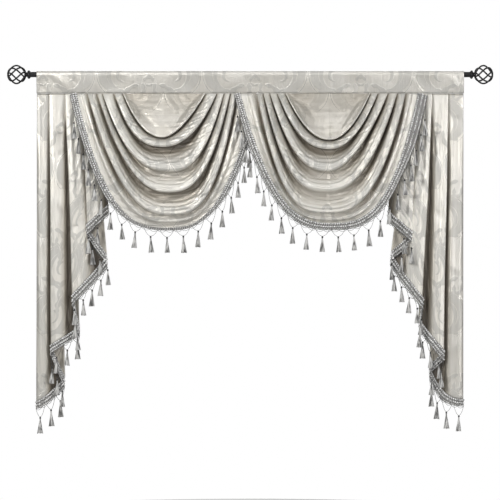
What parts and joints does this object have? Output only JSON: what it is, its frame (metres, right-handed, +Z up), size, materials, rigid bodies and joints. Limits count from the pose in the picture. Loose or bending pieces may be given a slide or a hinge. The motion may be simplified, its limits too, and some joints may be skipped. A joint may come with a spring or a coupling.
{
  "type": "window valance on a curtain rod",
  "caption": "Window valance on a black rod: flat heading band, draped swags, pleated side tails with a slanting hem, braid and tassels.",
  "frame": {"origin": "middle of the rod's axis, halfway between the finials", "axes": "+X along the rod to the right as seen from the room, +Y towards the wall, +Z up"},
  "size_m": [1.7074, 0.1178, 1.2921],
  "materials": {
    "satin": "satin jacquard weave with a tone-on-tone leaf scroll",
    "trim": "grey twisted cord, braid and tassels",
    "black_metal": "satin black"
  },
  "bodies": {
    "root": {"rod": "black_metal", "finial_left": "black_metal", "finial_right": "black_metal", "header": "satin", "swag_left": "satin", "swag_right": "satin", "tail_left": "satin", "tail_right": "satin", "fringe_swag_left": "trim", "fringe_swag_right": "trim", "fringe_tail_left": "trim", "fringe_tail_right": "trim"}
  },
  "joints": []
}
